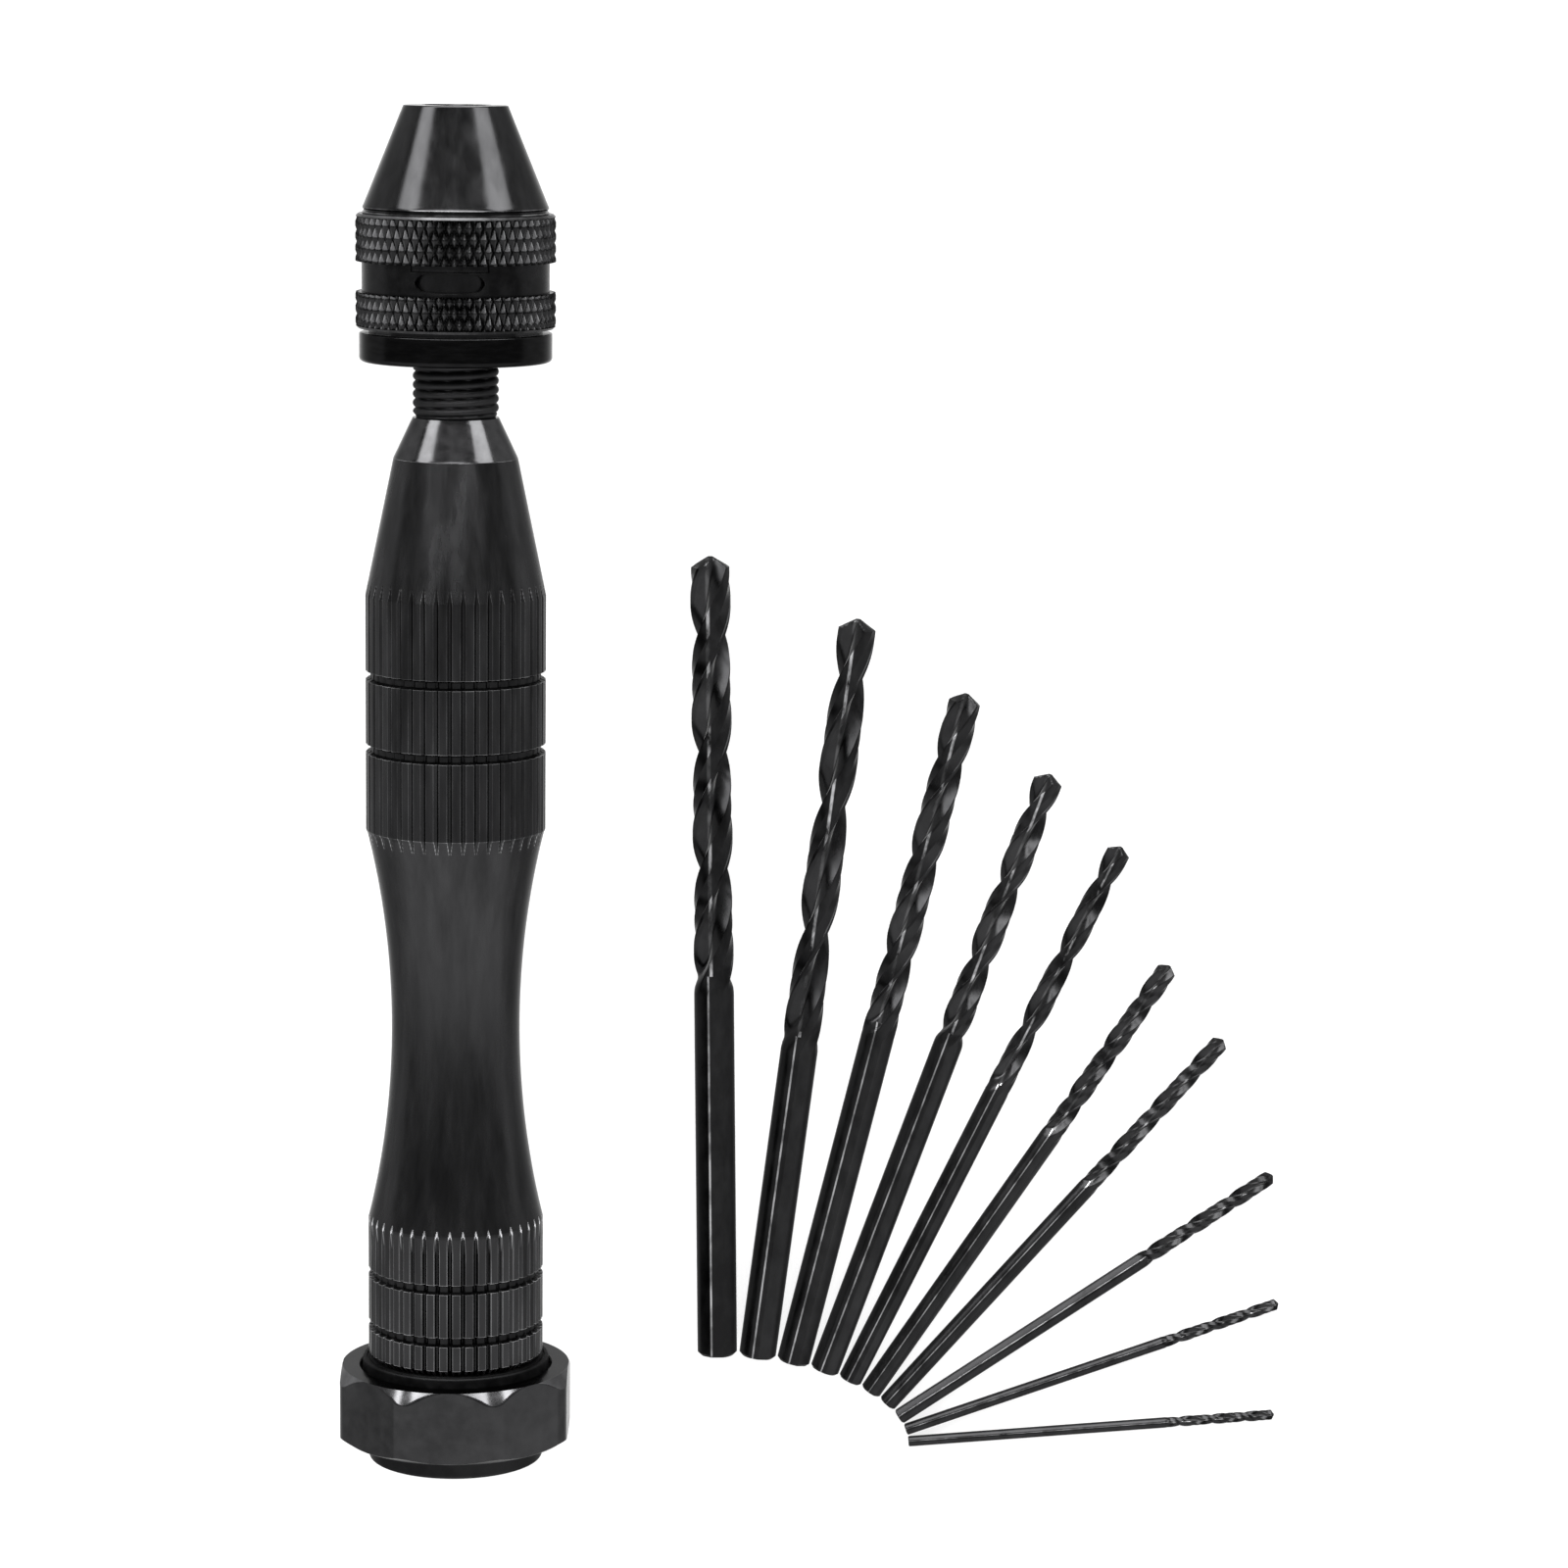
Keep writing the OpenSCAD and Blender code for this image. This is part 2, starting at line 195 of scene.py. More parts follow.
def paint(obj, material, wanted):
    """Gives a further material to the faces that wanted(station, radius, azimuth, lean) picks out;
    lean is 1 on a face that looks along the nose and 0 on one that looks sideways."""
    mesh = obj.data
    if not mesh.materials:
        mesh.materials.append(None)
    mesh.materials.append(material)
    for face in mesh.polygons:
        x, z = (face.center.x - AXIS_X) / MM, (face.center.z - AXIS_Z) / MM
        if wanted(station_of(face.center.y), math.hypot(x, z), math.atan2(x, z), face.normal.y):
            face.material_index = len(mesh.materials) - 1


def install(obj, node, body, material):
    """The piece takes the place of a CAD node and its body."""
    mark_edges(obj.data)
    if obj.data.materials:
        obj.data.materials[0] = material
    else:
        obj.data.materials.append(material)
    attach(obj, body)
    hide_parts(node)


# ---------------------------------------------------------------- materials

GRAIN, BROAD_SHARE = 900.0, 0.11


def math_node(tree, operation, first, second=None):
    """Output of a Math node for a socket and, where needed, a second socket or number."""
    node = tree.nodes.new("ShaderNodeMath")
    node.operation = operation
    tree.links.new(first, node.inputs[0])
    if isinstance(second, float):
        node.inputs[1].default_value = second
    elif second is not None:
        tree.links.new(second, node.inputs[1])
    return node.outputs[0]


def map_range(tree, value, source, target):
    """Output of a Map Range node from a (first, last) pair of numbers to another."""
    node = tree.nodes.new("ShaderNodeMapRange")
    for socket, number in zip(("From Min", "From Max", "To Min", "To Max"), source + target):
        node.inputs[socket].default_value = number
    tree.links.new(value, node.inputs["Value"])
    return node.outputs["Result"]


def mottling(tree, where, scale, detail):
    """Output of a noise of this scale at the socket where."""
    noise = tree.nodes.new("ShaderNodeTexNoise")
    noise.inputs["Scale"].default_value = scale
    noise.inputs["Detail"].default_value = detail
    noise.inputs["Roughness"].default_value = 0.6
    tree.links.new(where, noise.inputs["Vector"])
    return noise.outputs["Fac"]


def steel_like(name, tone, roughness, stretch=(1, 1, 1), wear=0.3, bump=0.02, tint=0.55, bare_and_glint_tone=0.0,
               line=None):
    """Finished metal: mottling of its tone and gloss, drawn out by stretch, and a faint relief.

    wear is the share by which the tone varies, tint the strength of glancing reflections, and
    bare_and_glint_tone the tone of the bare metal on crisp edges, or of a painted highlight along a
    drill's line."""
    material = bpy.data.materials.new(name)
    material.use_nodes = True
    tree = material.node_tree
    shader = tree.nodes["Principled BSDF"]
    shader.inputs["Metallic"].default_value = 1.0
    shader.inputs["Specular Tint"].default_value = (tint, tint, tint, 1)
    where = tree.nodes.new("ShaderNodeTexCoord")
    mapping = tree.nodes.new("ShaderNodeMapping")
    mapping.inputs["Scale"].default_value = stretch
    tree.links.new(where.outputs["Object"], mapping.inputs["Vector"])
    fine = mottling(tree, mapping.outputs["Vector"], GRAIN, 6.0)
    broad = mottling(tree, mapping.outputs["Vector"], GRAIN * BROAD_SHARE, 3.0)
    mean = math_node(tree, "MULTIPLY", math_node(tree, "ADD", fine, broad), 0.5)
    ramp = tree.nodes.new("ShaderNodeValToRGB")
    ends = zip(ramp.color_ramp.elements, (0.38, 0.62), (tone * (1 - wear), tone * (1 + wear)))
    for element, position, level in ends:
        element.position = position
        element.color = (level, level, level * 1.03, 1)
    tree.links.new(mean, ramp.inputs["Fac"])
    colour = ramp.outputs["Color"]
    if bare_and_glint_tone:
        colour = edge_wear_and_glint(tree, colour, fine, bare_and_glint_tone, line)
    tree.links.new(colour, shader.inputs["Base Color"])
    gloss = map_range(tree, fine, (0.3, 0.7), (roughness * 0.8, roughness * 1.2))
    tree.links.new(gloss, shader.inputs["Roughness"])
    relief = tree.nodes.new("ShaderNodeBump")
    relief.inputs["Strength"].default_value = bump
    relief.inputs["Distance"].default_value = 0.0001
    tree.links.new(fine, relief.inputs["Height"])
    tree.links.new(relief.outputs["Normal"], shader.inputs["Normal"])
    return material


def edge_wear_and_glint(tree, colour, noise, bare_and_glint_tone, line):
    """The colour with bare metal in patches on crisp edges, or with a painted highlight in patches along
    the line of a drill, given as its centre and half width, both as shares of the radius, and its least
    strength."""
    attribute = tree.nodes.new("ShaderNodeAttribute")
    attribute.attribute_name = "across" if line else "crisp"
    amount, least = attribute.outputs["Fac"], 0.25
    if line:
        centre, half_width, least = line
        away = math_node(tree, "ABSOLUTE", math_node(tree, "SUBTRACT", amount, centre))
        amount = map_range(tree, away, (half_width / 2, half_width), (1.0, 0.0))
    patches = map_range(tree, noise, (0.4, 0.6), (least, 1.0))
    mix = tree.nodes.new("ShaderNodeMix")
    mix.data_type = "RGBA"
    mix.inputs["B"].default_value = (bare_and_glint_tone, bare_and_glint_tone, bare_and_glint_tone * 1.02, 1)
    tree.links.new(math_node(tree, "MULTIPLY", amount, patches), mix.inputs["Factor"])
    tree.links.new(colour, mix.inputs["A"])
    return mix.outputs["Result"]


# Mottling drawn out along the axis, much on the handle and less on the drills
HANDLE_GRAIN, DRILL_GRAIN = (1, 0.15, 1), (1, 0.5, 1)
# The painted highlight line down each drill: centre, half width, least strength
SHANK_LINE, LAND_LINE, FLUTE_LINE = (-0.27, 0.06, 0.3), (-0.12, 0.1, 0.0), (-0.15, 0.12, 0.0)

BLACK_STEEL = steel_like("black_steel", 0.017, 0.18, stretch=(1, 0.3, 1), bare_and_glint_tone=0.12)
KNURLED_STEEL = steel_like("knurled_steel", 0.013, 0.25, bare_and_glint_tone=0.04)
# Light edge tone painted as thin highlights along the sleeve's end chamfers and the cap's back rim
EDGE_HIGHLIGHT = steel_like("edge_highlight", 0.045, 0.3, wear=0.5)
# Light tone painted as highlights on the points of the handle's rear grooves and on its bevel corners
TIP_HIGHLIGHT = steel_like("tip_highlight", 0.36, 0.3, wear=0.5)
# Lighter tone painted on the cap's front chamfer, so that its reflections come out as bright crescents
CHAMFER_HIGHLIGHT = steel_like("chamfer_highlight", 0.075, 0.12)
# Rougher tone without bare edges, darker than the handle's: painted shade in the handle's ring grooves
# and on the walls of the sleeve's windows
RECESS_SHADE = steel_like("ring_groove", 0.013, 0.35)
THREAD_STEEL = steel_like("thread_steel", 0.016, 0.5)
SPINDLE_STEEL = steel_like("spindle_steel", 0.030, 0.15)
RING_STEEL = steel_like("ring_steel", 0.008, 0.18, stretch=(1, 4, 1), bare_and_glint_tone=0.04)
HANDLE_BLACK = steel_like("handle_black", 0.022, 0.25, stretch=HANDLE_GRAIN, bare_and_glint_tone=0.4)
CAP_BLACK = steel_like("cap_black", 0.025, 0.2, wear=0.25)
DISC_BLACK = steel_like("disc_black", 0.011, 0.4)
# The drills' materials paint a highlight line along each drill, broken into patches
SHANK_STEEL = steel_like("shank_steel", 0.014, 0.33, stretch=DRILL_GRAIN, bare_and_glint_tone=0.3, line=SHANK_LINE)
LAND_STEEL = steel_like("land_steel", 0.014, 0.33, stretch=DRILL_GRAIN, bare_and_glint_tone=0.4, line=LAND_LINE)
FLUTE_STEEL = steel_like("flute_steel", 0.016, 0.28, stretch=DRILL_GRAIN, bare_and_glint_tone=0.05, line=FLUTE_LINE)
NYLON = steel_like("black_nylon", 0.008, 0.55, bump=0.05)
BRIGHT_STEEL = steel_like("bright_steel", 0.56, 0.25, wear=0.12, tint=1.0)


# ---------------------------------------------------------------- handle

TAPER_START, TAPER_END = 25.25, 35.2
WAIST_FRONT, WAIST_BACK = 52.4, 81.8
GRIP_END = 92.15
GRIP_GROOVES = (41.05, 46.4, 85.6, 89.55)
FRONT_GRIP_R, REAR_GRIP_R, WAIST_R, TAPER_R = 6.55, 6.45, 4.7, 4.5
# The hole for the spindle, and the boss for the cap's bearing with its screw hole
SPINDLE_HOLE_R, SPINDLE_HOLE_END = 3.0, 42
BOSS_R, BOSS_END = 2.4, 94.2
SCREW_HOLE_R, SCREW_HOLE_START = 1.25, 84
FLUTES = 42
FRONT_FLUTE, REAR_FLUTE = 0.14, 0.2
# Half the groove's width as a share of the flute pitch
FLUTE_HALF = 0.21
# Length of a groove's pointed end, and where the rear grooves start
RUN_OUT = 1.15
REAR_START = 81.2
# The stretches where the grooves run out and the rings of points lie close
FINE_STRETCHES = ((33.9, 35.3), (52.3, 53.7), (81.1, 82.5), (GRIP_END - 0.5, GRIP_END))


def flute_phase(azimuth):
    """Distance from the middle of the nearest groove, as a share of the pitch."""
    return np.abs((azimuth * FLUTES / TAU + 0.5) % 1 - 0.5)


def flute_depth(azimuth):
    """Depth of the grooves cut along the grips, 1 at the bottom and 0 on the lands."""
    across = np.minimum(flute_phase(azimuth) / FLUTE_HALF, 1)
    return np.cos(across * math.pi / 2) ** 1.5


def flute_azimuths():
    """Azimuths that lie close in the grooves and far apart on the lands."""
    half = np.array([0, 0.04, 0.08, 0.12, 0.16, 0.19, FLUTE_HALF, 0.25, 0.37])
    phases = np.concatenate([half, [0.5], 1 - half[:0:-1]])
    return ((np.arange(FLUTES)[:, None] + phases[None, :]) / FLUTES * TAU).ravel()


def waist_arc(steps):
    """Points of the waist, an arc between the two grips."""
    half = (WAIST_BACK - WAIST_FRONT) / 2
    middle = (WAIST_BACK + WAIST_FRONT) / 2
    sag = (FRONT_GRIP_R + REAR_GRIP_R) / 2 - WAIST_R
    radius = (half * half + sag * sag) / (2 * sag)
    span = math.asin(half / radius)
    turns = [-span + 2 * span * k / steps for k in range(1, steps)]
    return [(WAIST_R + radius * (1 - math.cos(t)), middle + radius * math.sin(t)) for t in turns]


def ring_groove(station, grip_r):
    """Outline of a groove round a grip."""
    half, floor, depth = 0.35, 0.2, 0.35
    return [(grip_r, station - half), (grip_r - depth, station - floor),
            (grip_r - depth, station + floor), (grip_r, station + half)]


def handle_step(station):
    """Rings lie close where the grooves run out, and far apart elsewhere."""
    return 0.06 if any(low < station < high for low, high in FINE_STRETCHES) else 1.6


def make_handle():
    """Taper, fluted grips, waist and the boss that carries the cap."""
    bevel = 0.45
    outline = dense([(TAPER_R, TAPER_START), (FRONT_GRIP_R, TAPER_END)], lambda station: 0.8)
    for station in GRIP_GROOVES[:2]:
        outline += ring_groove(station, FRONT_GRIP_R)
    outline += [(FRONT_GRIP_R, WAIST_FRONT)] + waist_arc(120) + [(REAR_GRIP_R, WAIST_BACK)]
    for station in GRIP_GROOVES[2:]:
        outline += ring_groove(station, REAR_GRIP_R)
    outline += [(REAR_GRIP_R, GRIP_END - bevel), (REAR_GRIP_R - bevel, GRIP_END)]
    profile = [(0, SPINDLE_HOLE_END), (SPINDLE_HOLE_R, SPINDLE_HOLE_END), (SPINDLE_HOLE_R, TAPER_START)]
    profile += dense(outline, handle_step)
    profile += [(BOSS_R, GRIP_END), (BOSS_R, BOSS_END), (SCREW_HOLE_R, BOSS_END),
                (SCREW_HOLE_R, SCREW_HOLE_START), (0, SCREW_HOLE_START)]

    def fluted(radius, station, azimuth):
        """The grooves start and end in points, a little way down the taper and the waist."""
        in_front = station < (WAIST_FRONT + WAIST_BACK) / 2
        depth = np.where(in_front, FRONT_FLUTE, REAR_FLUTE)
        starts = np.where(in_front, TAPER_END - RUN_OUT, REAR_START)
        ends = np.where(in_front, WAIST_FRONT + RUN_OUT, GRIP_END + RUN_OUT)
        reach = np.clip(np.minimum(station - starts, ends - station) / RUN_OUT, 0, 1)
        cut_depth = depth * np.clip(flute_depth(azimuth) - 1 + reach, 0, 1)
        return np.where(radius > WAIST_R, radius - cut_depth, radius)

    handle = turned("fluted_handle", profile, flute_azimuths(), fluted, sharp=24)
    # Faces nearer the axis than these radii are inside the handle
    groove_r, bevel_r, tip_end = 5, 5.8, REAR_START + 0.65 * RUN_OUT

    def in_groove(station, radius, azimuth, lean):
        return radius > groove_r and min(abs(station - groove) for groove in GRIP_GROOVES) < 0.33

    def on_tip_highlight(station, radius, azimuth, lean):
        """Painted highlight on the points of the rear grooves, and on the corners of the lands on the
        rear bevel.
        """
        if REAR_START < station < tip_end:
            return 0 < flute_depth(azimuth) - 1 + (station - REAR_START) / RUN_OUT < 0.35
        on_bevel = GRIP_END - bevel < station < GRIP_END and radius > bevel_r
        return on_bevel and 0.15 < flute_phase(azimuth) < 0.32

    # Painted shade in the ring grooves
    paint(handle, RECESS_SHADE, in_groove)
    paint(handle, TIP_HIGHLIGHT, on_tip_highlight)
    return handle


# ---------------------------------------------------------------- spindle

THREAD_R, THREAD_PITCH = 3.1, 0.65
STUD_FRONT, THREAD_END = 13.8, 22.3


def make_spindle():
    """Threaded stud, cone shoulder and the pin in the handle."""
    depth = 0.24
    stud = dense([(THREAD_R, STUD_FRONT), (THREAD_R, THREAD_END)], lambda station: THREAD_PITCH / 12)
    cone = [(3.25, 22.6), (4.45, 25.13), (TAPER_R, TAPER_START)]
    profile = [(0, STUD_FRONT), (THREAD_R - depth, STUD_FRONT)] + stud[1:] + cone
    profile += [(SPINDLE_HOLE_R, TAPER_START), (SPINDLE_HOLE_R, SPINDLE_HOLE_END), (0, SPINDLE_HOLE_END)]

    def threaded(radius, station, azimuth):
        phase = (station / THREAD_PITCH + azimuth / TAU) % 1
        crest = np.abs(np.sin(math.pi * phase)) ** 0.6
        fade = np.clip((THREAD_END - station) / (0.6 * THREAD_PITCH), 0, 1)
        on_stud = (radius > THREAD_R - NEAR) & (station < THREAD_END + NEAR)
        return np.where(on_stud, THREAD_R - depth * (1 - crest * fade), radius)

    spindle = turned("threaded_spindle", profile, even(160), threaded, sharp=22)
    paint(spindle, THREAD_STEEL, lambda station, radius, azimuth, lean: station < THREAD_END)
    return spindle


# ---------------------------------------------------------------- chuck

SLEEVE_R, NECK_R, SLEEVE_BORE = 7.2, 6.75, 6.35
SLEEVE_FRONT, NECK_FRONT, NECK_BACK, SLEEVE_BACK = 7.7, 11.1, 13.3, 15.9
KNURL_CELLS, KNURL_ROW, KNURL_DEPTH = 60, 0.86, 0.27
# Distance of the first row of points from the front, and the height at which the points are blunt
KNURL_START, KNURL_BLUNT = 0.75, 0.8


def ridge(value):
    """Triangle wave, 1 at whole numbers and 0 halfway between them."""
    return 1 - 2 * np.abs(value - np.round(value))


def knurl(station, azimuth):
    """Height of the diamond knurl, 1 on the points and 0 in the grooves."""
    across = azimuth * KNURL_CELLS / TAU
    along = (station - SLEEVE_FRONT - KNURL_START) / (2 * KNURL_ROW)
    height = np.minimum(ridge(across + along), ridge(across - along))
    return np.clip(height / KNURL_BLUNT, 0, 1)


def make_sleeve():
    """Two knurled bands with a neck between them, and three windows in the neck."""
    edge = 0.2
    fine = KNURL_ROW / 9
    upper = dense([(SLEEVE_R, SLEEVE_FRONT + edge), (SLEEVE_R, NECK_FRONT)], lambda station: fine)
    lower = dense([(SLEEVE_R, NECK_BACK), (SLEEVE_R, SLEEVE_BACK - edge)], lambda station: fine)
    neck = dense([(NECK_R, NECK_FRONT), (NECK_R, NECK_BACK)], lambda station: 0.05)[1:]
    step_half, step_back, step_depth = 2.8, 11.55, 0.15
    profile = [(SLEEVE_BORE, SLEEVE_FRONT), (SLEEVE_R - edge, SLEEVE_FRONT)] + upper + [
        (NECK_R, NECK_FRONT)] + neck + lower + [
        (SLEEVE_R - edge, SLEEVE_BACK), (SLEEVE_BORE, SLEEVE_BACK)]

    def knurled(radius, station, azimuth):
        """Knurled bands, and a shallow step on the neck in front of each window."""
        on_band = radius > SLEEVE_R - NEAR
        on_neck = np.abs(radius - NECK_R) < NEAR
        third = (azimuth + TAU / 6) % (TAU / 3) - TAU / 6
        on_step = on_neck & (np.abs(np.sin(third)) * NECK_R < step_half) & (station < step_back)
        radius = np.where(on_band, radius - KNURL_DEPTH * (1 - knurl(station, azimuth)), radius)
        return np.where(on_step, radius - step_depth, radius)

    sleeve = turned("knurled_sleeve", profile, even(KNURL_CELLS * 10), knurled, closed=True)
    cut(sleeve, [window_cutter(k * TAU / 3) for k in range(3)], sharp=32)
    # Painted highlight on the chamfers at the sleeve's ends
    paint(sleeve, EDGE_HIGHLIGHT, lambda station, radius, azimuth, lean: radius > SLEEVE_R - 0.25 and
          not SLEEVE_FRONT + edge < station < SLEEVE_BACK - edge)
    # Painted shade on the walls of the windows
    paint(sleeve, RECESS_SHADE, lambda station, radius, azimuth, lean:
          SLEEVE_BORE + 0.05 < radius < NECK_R - 0.02 and NECK_FRONT < station < NECK_BACK)
    return sleeve


def window_cutter(azimuth):
    """Cutter for a long hole with blunt pointed ends, wider outside than inside."""
    half_w, half_h, middle = 2.5, 0.64, 12.36
    inside, outside, flare = 5.7, 8.0, 0.15
    outline = []
    for end in (1, -1):
        for share_w, share_h in ((0.70, -1), (0.82, -0.93), (0.93, -0.6), (1, -0.18),
                                 (1, 0.18), (0.93, 0.6), (0.82, 0.93), (0.70, 1)):
            outline.append((end * share_w * half_w, middle + end * share_h * half_h))
    side, station = (np.array(c, float) for c in zip(*outline))
    layers = []
    for height in (inside, outside):
        wider = flare * (height - SLEEVE_BORE)
        across = side + np.sign(side) * wider
        along = station + np.sign(station - middle) * wider
        x = across * math.cos(azimuth) + height * math.sin(azimuth)
        z = height * math.cos(azimuth) - across * math.sin(azimuth)
        layers.append(np.stack([AXIS_X + x * MM, NOSE_Y - along * MM, AXIS_Z + z * MM], axis=-1))
    count = len(outline)
    faces = ring_faces(2, count, False) + [tuple(range(count)), tuple(range(count, 2 * count))]
    return new_object("window_cut", np.concatenate(layers), faces)


JAW_TILT = math.radians(15)
BIT_BORE_R = 1.7
JAW_HOLE_R, JAW_HOLE_START, JAW_HOLE_END = 1.0, -2.0, 13.9


def jaw_hole(azimuth):
    """Cutter for one of the inclined holes that the jaws slide in."""
    def on_jaw_axis(along):
        radius = BIT_BORE_R + along * math.sin(JAW_TILT)
        return points_at(np.float64(radius), np.float64(along * math.cos(JAW_TILT)), np.float64(azimuth))
    return rod("jaw_hole", on_jaw_axis(JAW_HOLE_START), on_jaw_axis(JAW_HOLE_END / math.cos(JAW_TILT)),
               JAW_HOLE_R * MM)


TAIL_R, CHUCK_BACK = 5.6, 18.3


def make_chuck_body():
    """Nose cone with a beaded rim, and behind it the barrel in the sleeve and the socket for the bush."""
    mouth_r, mouth_end, nose_r, nose_round, bore_end = 2.2, 0.5, 3.66, 0.14, 12.9
    rim_r, rim_back, barrel_r, barrel_front, barrel_end = 6.7, 7.65, 6.25, 7.8, 16.2
    groove_r, groove_end, socket_r, socket_front = 4.5, 9.8, 4.05, 13.5
    bead = [(6.6, 7.03), (6.68, 7.2), (rim_r, 7.3), (6.62, 7.42), (6.62, 7.5), (rim_r, 7.56)]
    profile = [(0, bore_end), (BIT_BORE_R, bore_end), (BIT_BORE_R, mouth_end), (mouth_r, 0), (nose_r, 0)]
    profile += arc((nose_r, nose_round), nose_round, -90, -25) + bead
    profile += [(rim_r, rim_back), (barrel_r, rim_back), (barrel_r, barrel_front),
                (groove_r, barrel_front), (groove_r, groove_end)]
    profile += dense([(barrel_r, groove_end), (barrel_r, barrel_end)], lambda station: 0.3)
    profile += [(TAIL_R, barrel_end), (TAIL_R, CHUCK_BACK), (socket_r, CHUCK_BACK),
                (socket_r, socket_front), (0, socket_front)]
    body = turned("chuck_nose", profile, even(256))
    cut(body, [jaw_hole(-k * TAU / 3) for k in range(3)])
    return body


def make_rear_ring():
    """Plain ring on the chuck's tail, more rounded at the back than in front."""
    ring_r, front, front_round, back_round = 6.95, 16.2, 0.12, 0.35
    profile = [(TAIL_R, front)] + arc((ring_r - front_round, front + front_round), front_round, -90, 0)
    profile += arc((ring_r - back_round, CHUCK_BACK - back_round), back_round, 0, 90, 8)
    profile += [(TAIL_R, CHUCK_BACK)]
    return turned("rear_ring_smooth", profile, even(256), closed=True, sharp=50)


# ---------------------------------------------------------------- end cap

CAP_FRONT, CAP_BACK, CAP_FLOOR, DISC_BACK = 92.8, 98.2, 93.55, 99.9
CAP_SIDES, CAP_FLAT, CAP_CORNER, CAP_CHAMFER, CAP_REAR_CHAMFER = 8, 8.4, 2.0, 1.0, 0.4


def make_washer():
    """Soft washer with a fine groove near its rim."""
    outer, back, soft, groove = 6.9, 93.4, 0.15, 0.12
    profile = [(BOSS_R, GRIP_END), (6.42, GRIP_END), (6.46, GRIP_END + groove), (6.56, GRIP_END + groove),
               (6.6, GRIP_END), (outer - soft, GRIP_END)]
    profile += arc((outer - soft, GRIP_END + soft), soft, -90, 0)[1:]
    profile += arc((outer - soft, back - soft), soft, 0, 90) + [(BOSS_R, back)]
    return turned("soft_washer", profile, even(192), closed=True, sharp=50)


def octagon_radius(azimuth):
    """Distance from the axis to the cap's outline, an octagon with rounded corners and a flat on top."""
    half = math.pi / CAP_SIDES
    centre = (CAP_FLAT - CAP_CORNER) / math.cos(half)
    tangent = math.atan2(CAP_CORNER * math.sin(half), centre + CAP_CORNER * math.cos(half))
    off = np.abs(azimuth % (2 * half) - half)
    corner = centre * np.cos(off) + np.sqrt(np.maximum(CAP_CORNER ** 2 - (centre * np.sin(off)) ** 2, 0))
    return np.where(off < tangent, corner, CAP_FLAT / np.cos(half - off))


def make_cap():
    """Eight sided cap, recessed in front for the washer and at the back for the bearing."""
    corner_r = octagon_radius(math.pi / CAP_SIDES) + NEAR
    end_r, recess_r, soft = CAP_FLAT + 0.02, 7.08, 0.08
    bearing_r, screw_r, shelf = 4.0, 2.7, 94.2
    side = [(end_r, CAP_FRONT), (corner_r, CAP_FRONT + CAP_CHAMFER),
            (corner_r, CAP_BACK - CAP_REAR_CHAMFER), (end_r, CAP_BACK - soft),
            (end_r - soft, CAP_BACK)]

    def chamfer_step(station):
        return 0.6 if CAP_FRONT + CAP_CHAMFER < station < CAP_BACK - CAP_REAR_CHAMFER else 0.04

    profile = [(bearing_r, CAP_BACK), (bearing_r, shelf), (screw_r, shelf), (screw_r, CAP_FLOOR),
               (recess_r, CAP_FLOOR), (recess_r, CAP_FRONT + soft), (recess_r + soft, CAP_FRONT)]
    cap = turned("octagon_cap", profile + dense(side, chamfer_step), even(CAP_SIDES * 48),
                 lambda radius, station, azimuth: np.minimum(radius, octagon_radius(azimuth)),
                 closed=True, sharp=18)
    # Painted highlight: the front chamfer in a lighter tone
    paint(cap, CHAMFER_HIGHLIGHT, lambda station, radius, azimuth, lean:
          station < CAP_FRONT + CAP_CHAMFER and radius > CAP_FLAT - 0.1 and lean > 0.2)
    # Painted highlight along the cap's back rim
    paint(cap, EDGE_HIGHLIGHT, lambda station, radius, azimuth, lean:
          station > CAP_BACK - soft and radius > CAP_FLAT - 0.2)
    return cap


def make_disc():
    """Palm disc, hollow over the screw's head, with turning marks inside a low rim."""
    disc_r, rim = 6.44, 0.25
    hollow_r, plug_r, hollow_end = 3.1, 3.95, 97.25
    sunk, mark_depth, mark_pitch, marks = 0.12, 0.012, 0.2, 26
    profile = [(0, CAP_BACK), (hollow_r, CAP_BACK), (hollow_r, hollow_end), (plug_r, hollow_end),
               (plug_r, CAP_BACK), (disc_r, CAP_BACK)]
    profile += arc((disc_r - rim, DISC_BACK - rim), rim, 0, 90, 6)
    profile += [(5.6, DISC_BACK), (5.45, DISC_BACK - sunk)]
    for ring in range(marks):
        radius = 5.4 - ring * mark_pitch
        profile += [(radius, DISC_BACK - sunk), (radius - mark_pitch / 2, DISC_BACK - sunk - mark_depth)]
    profile += [(0, DISC_BACK - sunk)]
    return turned("palm_disc", profile, even(192))


# ---------------------------------------------------------------- twist drills

# Name, length, fluted length, direction in degrees clockwise from +Y, lead of the flutes,
# distance from the tip to where the flutes first face sideways, and angular width of a flute
BITS = [("3_0", 61, 33, -1, 17.6, 5.9, 88), ("2_8", 57, 33, 7, 19.4, 4.3, 99),
        ("2_5", 53, 27, 13.5, 15.3, 5.0, 78), ("2_2", 49, 22, 19.5, 12.3, 2.6, 99),
        ("1_8", 46, 21, 25.5, 12.6, 2.6, 99), ("1_6", 40, 16, 33.5, 9.3, 3.0, 76),
        ("1_4", 38, 15.5, 41, 9.0, 2.8, 74), ("1_2", 34, 12, 55.5, 7.4, 3.4, 76),
        ("0_9", 30, 9.5, 70, 5.6, 2.2, 80), ("0_8", 28, 8.5, 85, 5.0, 2.0, 80)]
POINT_HALF = math.radians(59)
# The section for a unit radius: the web's and the heel's radius, the land's radius, and the width
# of the full-size margin in degrees
WEB, HEEL, LAND, MARGIN_WIDTH = 0.27, 0.93, 0.955, 11
# The shank's chamfer as a share of the diameter
SHANK_CHAMFER = 0.08
